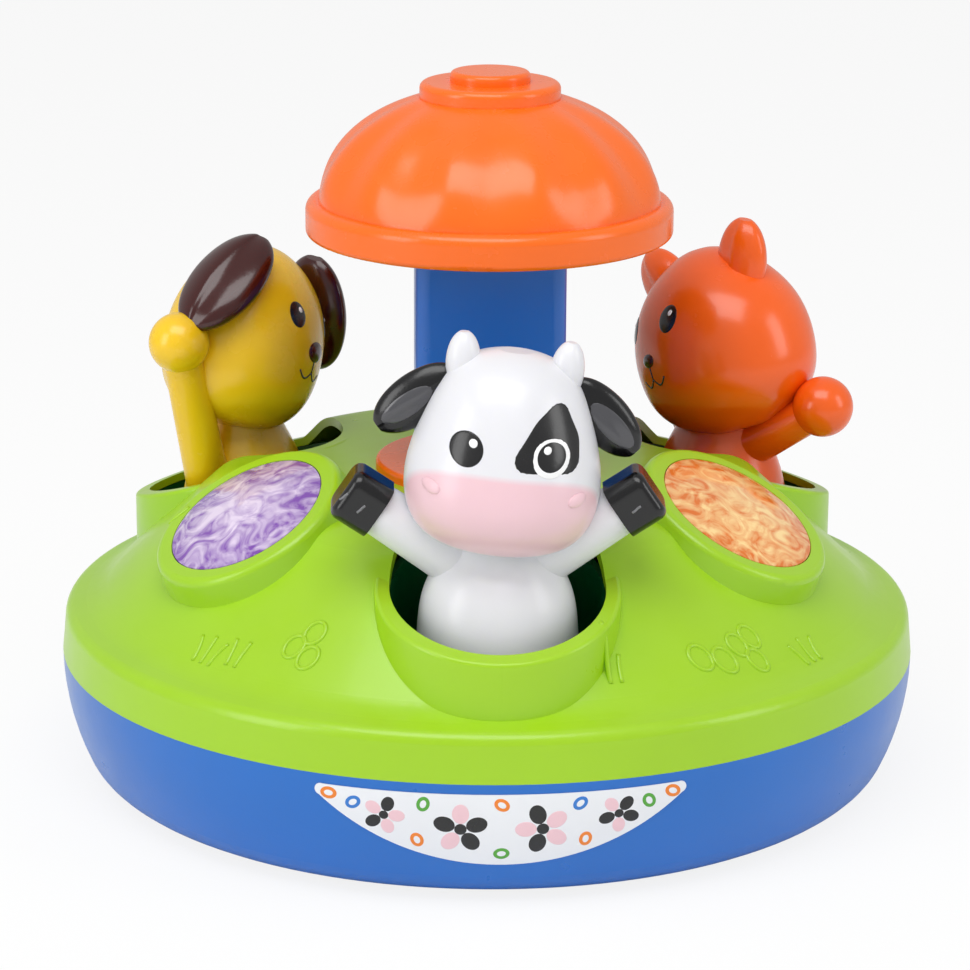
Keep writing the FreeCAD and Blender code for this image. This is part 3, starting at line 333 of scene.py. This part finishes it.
print("finishes built")


# what each CAD piece is finished in

nodeFinish = {
    "limeShell": ["dome_lid"],
    "blueShell": ["base_bowl", "power_slider", "battery_door"],
    "postBlue": ["centre_post"],
    "capOrange": ["push_cap", "cap_underplate", "post_collar"],
    "dogYellow": ["dog_torso", "dog_head"],
    "earBrown": ["dog_ears"],
    "cowWhite": ["cow_torso"],
    "glossBlack": ["cow_ears", "cow_hooves"],
    "catOrange": ["cat_torso", "cat_head", "cat_ears"],
    "wellGreen": ["cow_well", "dog_well", "cat_well"],
    "rubber": ["rubber_feet", "button_domes"],
    "gearWhite": ["drive_gear", "drive_nut", "cow_gear", "dog_gear", "cat_gear"],
    "innerGrey": ["gear_deck", "gear_cover", "switch_housing"],
    "boardGreen": ["circuit_board"],
    "darkPlastic": ["speaker", "board_components"],
    "cellJacket": ["battery_cells"],
    "zincSteel": ["lid_screws", "battery_door_screw", "board_screws", "gearbox_screws", "bar_screw",
                  "cap_screws", "battery_contacts", "twisted_bar",
                  "cow_spindle", "dog_spindle", "cat_spindle"],
    "springSteel": ["return_spring"],
    "labelPaper": ["front_label"],
    "inkWhite": ["lamp_boards", "lamps"],
}


def finishNode(node, material):
    slots = nodes[node].data.materials
    slots.clear()
    slots.append(material)


for finish, members in nodeFinish.items():
    for member in members:
        finishNode(member, finishes[finish])


# the push lenses: coloured plastic with a pebbled, swirled face; the paler middle, the pale swirls and a
# faint emission are painted glow

lensPlace = {"orbit": 0.077, "height": 0.083, "reach": 0.0224}
# middle is the pale colour of the painted glow; glow is the strength of a faint emission, painted glow as
# well
lenses = {
    "lens_purple": {"angle": 210.0, "edge": (128, 72, 176), "middle": (240, 226, 246),
                    "contrast": 2.6, "fade": 0.6, "depth": 0.14, "glow": 0.12},
    "lens_orange": {"angle": 330.0, "edge": (226, 120, 30), "middle": (255, 228, 160),
                    "contrast": 3.0, "fade": 0.4, "depth": 0.26, "glow": 0.12},
    "lens_rear": {"angle": 90.0, "edge": (30, 150, 80), "middle": (200, 244, 205),
                  "contrast": 3.6, "fade": 0.5, "depth": 0.18, "glow": 0.12},
}


def lensMaterial(name, lens):
    material, tree, shader, vector = startMaterial(name)
    link = tree.links.new
    angle = math.radians(lens["angle"])
    orbit = lensPlace["orbit"]
    centre = (orbit * math.cos(angle), orbit * math.sin(angle), lensPlace["height"])
    away = tree.nodes.new("ShaderNodeVectorMath")
    away.operation = "DISTANCE"
    link(vector, away.inputs[0])
    away.inputs[1].default_value = centre
    share = mathNode(tree, "DIVIDE", away.outputs["Value"], lensPlace["reach"], clamp=True)
    cells = tree.nodes.new("ShaderNodeTexVoronoi")
    cells.feature = "SMOOTH_F1"
    cells.inputs["Scale"].default_value = 260.0
    cells.inputs["Smoothness"].default_value = 0.6
    link(vector, cells.inputs["Vector"])
    swirl = noiseNode(tree, vector, 120.0, 3.0)
    swirl.inputs["Distortion"].default_value = 2.2
    glowShare = mathNode(tree, "SUBTRACT", swirl.outputs["Fac"], 0.5)
    glowShare = mathNode(tree, "MULTIPLY", glowShare, lens["contrast"])
    reach = mathNode(tree, "MULTIPLY", share, lens["fade"])
    glowShare = mathNode(tree, "ADD", glowShare, reach)
    glowShare = mathNode(tree, "ADD", glowShare, lens["depth"], clamp=True)
    mix = tree.nodes.new("ShaderNodeMix")
    mix.data_type = "RGBA"
    link(glowShare, mix.inputs["Factor"])
    mix.inputs["A"].default_value = screenColour(*lens["middle"])
    mix.inputs["B"].default_value = screenColour(*lens["edge"])
    link(mix.outputs["Result"], shader.inputs["Base Color"])
    # the lens colour also glows by emission, though the lens is no lamp: painted glow
    link(mix.outputs["Result"], shader.inputs["Emission Color"])
    shader.inputs["Emission Strength"].default_value = lens["glow"]
    bump = tree.nodes.new("ShaderNodeBump")
    bump.inputs["Strength"].default_value = 0.25
    bump.inputs["Distance"].default_value = 0.0006
    link(cells.outputs["Distance"], bump.inputs["Height"])
    link(bump.outputs["Normal"], shader.inputs["Normal"])
    shader.inputs["Roughness"].default_value = 0.16
    shader.inputs["Coat Weight"].default_value = 0.6
    shader.inputs["Transmission Weight"].default_value = 0.25
    return material


for name, lens in lenses.items():
    finishNode(name, lensMaterial(name, lens))
print("CAD pieces finished")


# figures: where each one stands and which way its head leans

figureOrbit = 0.08
figures = {
    "cow": {"angle": 270.0, "heading": 269.0, "roll": -6.0, "pivot": 0.096},
    "dog": {"angle": 150.0, "heading": 324.0, "roll": -22.0, "pivot": 0.112},
    "cat": {"angle": 30.0, "heading": 218.0, "roll": 23.0, "pivot": 0.112},
}


def headFrame(figure, faceTurn=0.0):
    # from the head's own axes, facing +X, to where it stands; faceTurn goes round its own upright
    angle = math.radians(figure["angle"])
    spot = Matrix.Translation((figureOrbit * math.cos(angle), figureOrbit * math.sin(angle), 0))
    lift = Matrix.Translation((0, 0, figure["pivot"]))
    lean = lift @ Matrix.Rotation(math.radians(figure["roll"]), 4, "X") @ lift.inverted()
    heading = Matrix.Rotation(math.radians(figure["heading"]), 4, "Z")
    return spot @ heading @ lean @ Matrix.Rotation(math.radians(faceTurn), 4, "Z")


def surfaceOf(*names):
    bm = bmesh.new()
    for name in names:
        bm.from_mesh(nodes[name].data)
    tree = BVHTree.FromBMesh(bm)
    bm.free()
    return tree


rayLength = 0.2


def dropOn(surface, place, point, towards):
    # where a ray from a point in a piece's own axes meets the surface
    start = place @ Vector(point)
    way = (place.to_3x3() @ Vector(towards)).normalized()
    spot, normal, index, distance = surface.ray_cast(start, way, rayLength)
    if spot is None:
        return None, None
    if normal.dot(way) > 0:
        normal = -normal
    return spot, normal


def addPiece(name, bm, material, body):
    bmesh.ops.recalc_face_normals(bm, faces=bm.faces)
    for face in bm.faces:
        face.smooth = True
    mesh = bpy.data.meshes.new(name)
    bm.to_mesh(mesh)
    bm.free()
    mesh.materials.append(material)
    piece = bpy.data.objects.new(name, mesh)
    bpy.context.scene.collection.objects.link(piece)
    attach(piece, body)


def roundedCorners(corners, softness=14.0):
    # how far a polygon reaches from its middle at an angle, averaged over a few degrees to round it
    middle = sum((Vector(corner) for corner in corners), Vector((0, 0))) / len(corners)

    def edgeReach(angle):
        way = Vector((math.cos(angle), math.sin(angle)))
        best = 1.0
        for first, second in zip(corners, corners[1:] + corners[:1]):
            side = Vector(second) - Vector(first)
            start = Vector(first) - middle
            across = way.x * side.y - way.y * side.x
            if abs(across) < 1e-9:
                continue
            reach = (start.x * side.y - start.y * side.x) / across
            share = (start.x * way.y - start.y * way.x) / across
            if reach > 0 and -0.001 <= share <= 1.001:
                best = min(best, reach)
        return best

    def reachAt(angle):
        spread = [math.radians(softness * step / 3) for step in range(-3, 4)]
        return sum(edgeReach(angle + turn) for turn in spread) / len(spread)

    return middle, reachAt


inward = (-1, 0, 0)


def printOn(name, surface, place, middle, reachAt, rise, material, body, start=0.07, rings=12):
    # a thin raised print on the side that faces its place's own +X; middle is across and up
    bm = bmesh.new()
    bmesh.ops.create_uvsphere(bm, u_segments=48, v_segments=rings, radius=1.0)
    for vert in bm.verts:
        share = math.hypot(vert.co.x, vert.co.y)
        angle = math.atan2(vert.co.y, vert.co.x)
        reach = reachAt(angle) * share
        across = middle[0] + reach * math.cos(angle)
        up = middle[1] + reach * math.sin(angle)
        spot, normal = dropOn(surface, place, (start, across, up), inward)
        if spot is None:
            print("print misses its surface:", name)
            bm.free()
            return
        vert.co = spot + normal * (vert.co.z * rise)
    addPiece(name, bm, material, body)


def ellipse(across, upward, turn=0.0):
    def reachAt(angle):
        own = angle - math.radians(turn)
        return across * upward / math.hypot(upward * math.cos(own), across * math.sin(own))
    return reachAt


def disc(reach):
    return ellipse(reach, reach)


sides = ((-1, "Left"), (1, "Right"))


def bead(name, surface, place, points, radius, material, body, towards=inward, start=0.07,
         closed=False, sink=0.35):
    # a raised line moulded on a surface, through points in the piece's own axes
    curve = bpy.data.curves.new(name, "CURVE")
    curve.dimensions = "3D"
    curve.bevel_depth = radius
    curve.bevel_resolution = 3
    curve.use_fill_caps = True
    spline = curve.splines.new("NURBS")
    spline.points.add(len(points) - 1)
    away = -Vector(towards)
    for control, point in zip(spline.points, points):
        spot, normal = dropOn(surface, place, Vector(point) + away * start, towards)
        if spot is None:
            print("bead misses its surface:", name)
            return
        control.co = (*(spot - normal * radius * sink), 1.0)
    spline.order_u = 3
    spline.use_endpoint_u = not closed
    spline.use_cyclic_u = closed
    spline.resolution_u = 4
    line = bpy.data.objects.new(name + "Line", curve)
    mesh = bpy.data.meshes.new_from_object(line)
    bpy.data.objects.remove(line)
    bpy.data.curves.remove(curve)
    bm = bmesh.new()
    bm.from_mesh(mesh)
    bmesh.ops.remove_doubles(bm, verts=bm.verts, dist=1e-7)
    addPiece(name, bm, material, body)


# cow face

cowFace = {
    "eyeAcross": 0.0108, "eyeUp": 0.1172, "eyeReach": 0.0043, "ringOuter": 0.0051, "ringInner": 0.0042,
    "glintReach": 0.0012, "glintUp": 0.0016, "glintLeftShift": 0.0016, "glintRightShift": -0.0012,
    "patch": [(0.0000, 0.1136), (0.0182, 0.1130), (0.0176, 0.1215), (0.0122, 0.1312), (0.0062, 0.1255)],
    "nostril": (0.0024, 0.0017), "nostrilAcross": 0.0186, "nostrilUp": 0.1062, "nostrilTurn": 20.0,
    "nostrilRise": 0.0007,
    "patchRise": 0.00012, "eyeRise": 0.00022, "ringRise": 0.00024, "ringEyeRise": 0.00034,
    "glintLeftRise": 0.0004, "glintRightRise": 0.0005,
    "muzzleMiddle": (0.026, 0.0, 0.0995), "muzzleReach": (0.0215, 0.06, 0.0118), "muzzleSoftness": 0.14,
    "white": (230, 230, 234), "pink": (238, 200, 208),
}
cowPlace = headFrame(figures["cow"])
cowHead = surfaceOf("cow_head")


def cowHeadMaterial():
    # white plastic with a soft pink muzzle sprayed over the lower half of the face
    material, tree, shader, vector = startMaterial("cowHeadSkin")
    own = tree.nodes.new("ShaderNodeMapping")
    own.vector_type = "TEXTURE"
    own.inputs["Location"].default_value = cowPlace.to_translation()
    own.inputs["Rotation"].default_value = cowPlace.to_euler()
    tree.links.new(vector, own.inputs["Vector"])
    mask = tree.nodes.new("ShaderNodeGroup")
    mask.node_tree = patchMask
    tree.links.new(own.outputs["Vector"], mask.inputs["Vector"])
    mask.inputs["Centre"].default_value = cowFace["muzzleMiddle"]
    mask.inputs["Reach"].default_value = cowFace["muzzleReach"]
    mask.inputs["Softness"].default_value = cowFace["muzzleSoftness"]
    tone = tree.nodes.new("ShaderNodeMix")
    tone.data_type = "RGBA"
    tree.links.new(mask.outputs["Mask"], tone.inputs["Factor"])
    tone.inputs["A"].default_value = screenColour(*cowFace["white"])
    tone.inputs["B"].default_value = screenColour(*cowFace["pink"])
    addSkin(tree, shader, vector, tone.outputs["Result"], 0.05, 0.32, 0.0, 0.08)
    addGloss(shader, 0.2, 0.1)
    return material


finishNode("cow_head", cowHeadMaterial())


def buildCowFace():
    face = cowFace
    black = finishes["inkBlack"]
    white = finishes["inkWhite"]

    def ink(name, across, up, outline, rise, material, rings=12):
        printOn(name, cowHead, cowPlace, (across, up), outline, rise, material, "cow", rings=rings)

    middle, reachAt = roundedCorners(face["patch"])
    ink("cowPatch", middle[0], middle[1], reachAt, face["patchRise"], black, rings=16)
    across, up = face["eyeAcross"], face["eyeUp"]
    ink("cowRing", across, up, disc(face["ringOuter"]), face["ringRise"], white)
    ink("cowEyeLeft", -across, up, disc(face["eyeReach"]), face["eyeRise"], black)
    ink("cowEyeRight", across, up, disc(face["ringInner"]), face["ringEyeRise"], black)
    glint = disc(face["glintReach"])
    glintUp = up + face["glintUp"]
    ink("cowGlintLeft", -across + face["glintLeftShift"], glintUp, glint, face["glintLeftRise"], white)
    ink("cowGlintRight", across + face["glintRightShift"], glintUp, glint, face["glintRightRise"], white)
    for side, name in sides:
        outline = ellipse(*face["nostril"], side * face["nostrilTurn"])
        ink("cowNostril" + name, side * face["nostrilAcross"], face["nostrilUp"], outline,
            face["nostrilRise"], finishes["inkPink"])


buildCowFace()


# dog and cat faces, turned a little further round than the heads themselves

smallFaces = {
    "dog": {"eyeAcross": 0.0095, "eyeUp": 0.1215, "eye": (0.0028, 0.0036), "nose": (0.0042, 0.0030),
            "noseUp": 0.1125, "mouthUp": 0.1065, "mouthAcross": 0.0062, "faceTurn": 14.0},
    "cat": {"eyeAcross": 0.0098, "eyeUp": 0.1205, "eye": (0.0030, 0.0038), "nose": (0.0028, 0.0020),
            "noseUp": 0.1105, "mouthUp": 0.1050, "mouthAcross": 0.0056, "faceTurn": -14.0},
}
facePaint = {
    "eyeRise": 0.0003, "glint": (0.0008, 0.0009), "glintShift": (0.0008, 0.0014), "glintRise": 0.0005,
    "noseRise": 0.0009, "mouthDip": 0.0022, "lineRadius": 0.00035, "lipGap": 0.002,
}


def buildSmallFace(figure, face):
    place = headFrame(figures[figure], face["faceTurn"])
    head = surfaceOf(figure + "_head")
    black = finishes["inkBlack"]
    paint = facePaint

    def ink(name, middle, outline, rise, material):
        printOn(figure + name, head, place, middle, outline, rise, material, figure)

    def line(name, points):
        bead(figure + name, head, place, points, paint["lineRadius"], black, figure)

    for side, name in sides:
        across = side * face["eyeAcross"]
        ink("Eye" + name, (across, face["eyeUp"]), ellipse(*face["eye"]), paint["eyeRise"], black)
        glint = (across + paint["glintShift"][0], face["eyeUp"] + paint["glintShift"][1])
        ink("Glint" + name, glint, ellipse(*paint["glint"]), paint["glintRise"], finishes["inkWhite"])
        smile = []
        for share in (0.0, 0.25, 0.5, 0.75, 1.0):
            dip = paint["mouthDip"] * math.sin(math.pi * share)
            smile.append((0, side * face["mouthAcross"] * share, face["mouthUp"] - dip))
        line("Mouth" + name, smile)
    ink("Nose", (0.0, face["noseUp"]), ellipse(*face["nose"]), paint["noseRise"], finishes["earBrown"])
    middle = (face["noseUp"] + face["mouthUp"]) / 2
    line("Lip", [(0, 0, face["noseUp"] - paint["lipGap"]), (0, 0, middle), (0, 0, face["mouthUp"])])


for figure, face in smallFaces.items():
    buildSmallFace(figure, face)
print("faces painted")


# ears and hooves

# the leaves inside the cow's ears are painted sheen
earSheenLeaf = {"reach": (0.0080, 0.0030), "along": 0.0265, "up": 0.1222, "turn": 42.0, "rise": 0.00025}


def buildEarSheen():
    # a paler grey leaf inside each of the cow's ears, a painted sheen on the glossy black
    ears = surfaceOf("cow_ears")
    for side, name in sides:
        middle = (side * earSheenLeaf["along"], earSheenLeaf["up"])
        outline = ellipse(*earSheenLeaf["reach"], -side * earSheenLeaf["turn"])
        printOn("cowEarSheen" + name, ears, cowPlace, middle, outline, earSheenLeaf["rise"],
                finishes["earSheen"], "cow")


buildEarSheen()

# pale lines on the hooves: painted highlights, not creases
hoofHighlights = {"across": 0.0375, "up": 0.1005, "length": 0.0022, "radius": 0.00035,
             "apart": 0.0022, "step": 0.0016, "bow": 0.0009}


def buildHoofHighlights():
    # short pale grey lines on the hooves, painted highlights on the glossy black; they don't lean with the
    # head; one that finds no hoof is left out
    heading = Matrix.Rotation(math.radians(figures["cow"]["heading"]), 4, "Z")
    place = Matrix.Translation((0, -figureOrbit, 0)) @ heading
    hooves = surfaceOf("cow_hooves")
    marks = hoofHighlights
    for side, name in sides:
        for mark, letter in ((-1, "A"), (1, "B")):
            across = side * marks["across"] + mark * marks["apart"]
            up = marks["up"] + mark * side * marks["step"]
            line = []
            for share in (-0.5, -0.17, 0.17, 0.5):
                bow = marks["bow"] * math.sin(math.pi * share)
                line.append((0, across + marks["length"] * share, up + bow))
            bead("hoofHighlight" + name + letter, hooves, place, line, marks["radius"],
                 finishes["highlightGrey"], "cow")


buildHoofHighlights()
print("ears and hooves detailed")


# moulded reliefs on the dome: looped flowers and soft grass blades, all dropped on from above

reliefs = {
    "flowers": [{"spot": (-0.0500, -0.0850), "reach": 0.0030, "loops": 3, "turn": 40.0},
                {"spot": (0.0560, -0.0860), "reach": 0.0034, "loops": 2, "turn": 20.0},
                {"spot": (0.0660, -0.0780), "reach": 0.0030, "loops": 3, "turn": 80.0},
                {"spot": (-0.0420, 0.0900), "reach": 0.0032, "loops": 3, "turn": 10.0},
                {"spot": (0.0420, 0.0900), "reach": 0.0032, "loops": 3, "turn": 50.0}],
    "grass": [{"spot": (-0.0780, -0.0740), "blades": 3}, {"spot": (-0.0700, -0.0800), "blades": 2},
              {"spot": (0.0850, -0.0700), "blades": 3}, {"spot": (0.0300, -0.1000), "blades": 2},
              {"spot": (0.0000, 0.1060), "blades": 3}, {"spot": (-0.0880, -0.0250), "blades": 2}],
    "radius": 0.0007, "loopPoints": 12, "loopSpread": 1.05, "loopSquash": 0.8,
    "bladeLength": 0.0062, "bladeFan": 0.5, "bladeGap": 0.006, "bladeBend": 0.004, "bladeShrink": 0.2,
    "pointHeight": 0.02, "start": 0.12,
}
down = (0, 0, -1)


def mouldRelief(name, dome, points, closed=False):
    bead(name, dome, Matrix.Identity(4), points, reliefs["radius"], finishes["limeShell"], "base", down,
         reliefs["start"], closed)


def buildFlower(number, flower, dome):
    reach = flower["reach"]
    for petal in range(flower["loops"]):
        turn = math.radians(flower["turn"]) + math.tau * petal / flower["loops"]
        out = Vector((math.cos(turn), math.sin(turn)))
        middle = Vector(flower["spot"]) + out * reach * reliefs["loopSpread"]
        points = []
        for step in range(reliefs["loopPoints"]):
            angle = math.tau * step / reliefs["loopPoints"]
            across = middle.x + reach * math.cos(angle)
            along = middle.y + reach * reliefs["loopSquash"] * math.sin(angle)
            points.append((across, along, reliefs["pointHeight"]))
        mouldRelief("flower%d_%d" % (number, petal), dome, points, closed=True)


def buildTuft(number, tuft, dome):
    spot = Vector(tuft["spot"])
    inwards = -spot.normalized()
    side = Vector((-inwards.y, inwards.x))
    for blade in range(tuft["blades"]):
        lean = (blade - (tuft["blades"] - 1) / 2) * reliefs["bladeFan"]
        foot = spot + side * lean * reliefs["bladeGap"]
        points = []
        for share in (0.0, 0.35, 0.7, 1.0):
            reach = reliefs["bladeLength"] * share * (1 - reliefs["bladeShrink"] * abs(lean))
            at = foot + inwards * reach + side * lean * share * share * reliefs["bladeBend"]
            points.append((at.x, at.y, reliefs["pointHeight"]))
        mouldRelief("grass%d_%d" % (number, blade), dome, points)


def buildReliefs():
    dome = surfaceOf("dome_lid")
    for number, flower in enumerate(reliefs["flowers"]):
        buildFlower(number, flower, dome)
    for number, tuft in enumerate(reliefs["grass"]):
        buildTuft(number, tuft, dome)


buildReliefs()
print("reliefs moulded")


# front label: a generic print of spotted rosettes between small outlined shapes, on white

labelPrint = {
    "rise": 0.00006, "start": 0.16,
    "rosettes": [{"across": -0.0300, "up": 0.0262, "reach": 0.0050},
                 {"across": -0.0105, "up": 0.0232, "reach": 0.0066},
                 {"across": 0.0105, "up": 0.0232, "reach": 0.0066},
                 {"across": 0.0300, "up": 0.0262, "reach": 0.0050}],
    "petals": 5, "petalTurn": 0.25, "petalOut": 0.66, "petal": (0.42, 0.33), "heart": 0.24,
    "rings": [(-0.0440, 0.0308, "inkOrange"), (-0.0378, 0.0290, "inkBlue"), (-0.0200, 0.0300, "inkGreen"),
              (-0.0215, 0.0196, "inkOrange"), (0.0, 0.0302, "inkOrange"), (0.0, 0.0160, "inkGreen"),
              (0.0200, 0.0300, "inkBlue"), (0.0215, 0.0196, "inkOrange"), (0.0378, 0.0290, "inkGreen"),
              (0.0440, 0.0308, "inkOrange")],
    "ring": (0.0021, 0.00168), "hole": (0.00126, 0.000882), "ringTurn": 37.0,
}


def buildLabel():
    paper = surfaceOf("front_label")
    front = Matrix.Rotation(math.radians(-90.0), 4, "Z")
    art = labelPrint

    def ink(name, across, up, outline, colour, layer=1.0):
        printOn(name, paper, front, (across, up), outline, art["rise"] * layer, finishes[colour], "base",
                start=art["start"])

    for number, rosette in enumerate(art["rosettes"]):
        across, up, reach = rosette["across"], rosette["up"], rosette["reach"]
        for petal in range(art["petals"]):
            turn = math.tau * (petal + art["petalTurn"] * number) / art["petals"]
            out = reach * art["petalOut"]
            outline = ellipse(reach * art["petal"][0], reach * art["petal"][1], math.degrees(turn))
            ink("rosette%d_%d" % (number, petal), across + out * math.cos(turn), up + out * math.sin(turn),
                outline, "inkBlack" if (petal + number) % 2 else "inkPink")
        ink("rosetteHeart%d" % number, across, up, disc(reach * art["heart"]), "inkBlack", 2.0)
    for number, (across, up, colour) in enumerate(art["rings"]):
        turn = number * art["ringTurn"]
        ink("labelRing%d" % number, across, up, ellipse(*art["ring"], turn), colour)
        ink("labelHole%d" % number, across, up, ellipse(*art["hole"], turn), "labelPaper", 2.0)


buildLabel()
print("label printed")


# screw recesses: a dark raised cross on each head that shows from below, painted shade for the hollow of
# the recess

screwRecessShade = {"orbit": 0.0979, "angles": (60.0, 180.0, 300.0), "turns": (45.0, 135.0), "reach": 0.0017,
                "radius": 0.0003, "start": 0.01, "sink": 0.6}


def buildScrewRecessShade():
    screws = surfaceOf("lid_screws", "battery_door_screw")
    cross = screwRecessShade
    spots = []
    for angle in cross["angles"]:
        turn = math.radians(angle)
        spots.append((cross["orbit"] * math.cos(turn), cross["orbit"] * math.sin(turn)))
    low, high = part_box("battery_door_screw")
    spots.append(((low[0] + high[0]) / 2, (low[1] + high[1]) / 2))
    for number, (x, y) in enumerate(spots):
        for turn in cross["turns"]:
            way = Vector((math.cos(math.radians(turn)), math.sin(math.radians(turn)))) * cross["reach"]
            points = [(x + way.x * share, y + way.y * share, 0.0) for share in (-1.0, -0.3, 0.3, 1.0)]
            # the dark colour of each cross is painted shade in the recess
            bead("screwShadeCross%d_%d" % (number, turn), screws, Matrix.Identity(4), points, cross["radius"],
                 finishes["darkPlastic"], "base", (0, 0, 1), cross["start"], sink=cross["sink"])


buildScrewRecessShade()
print("screws detailed")
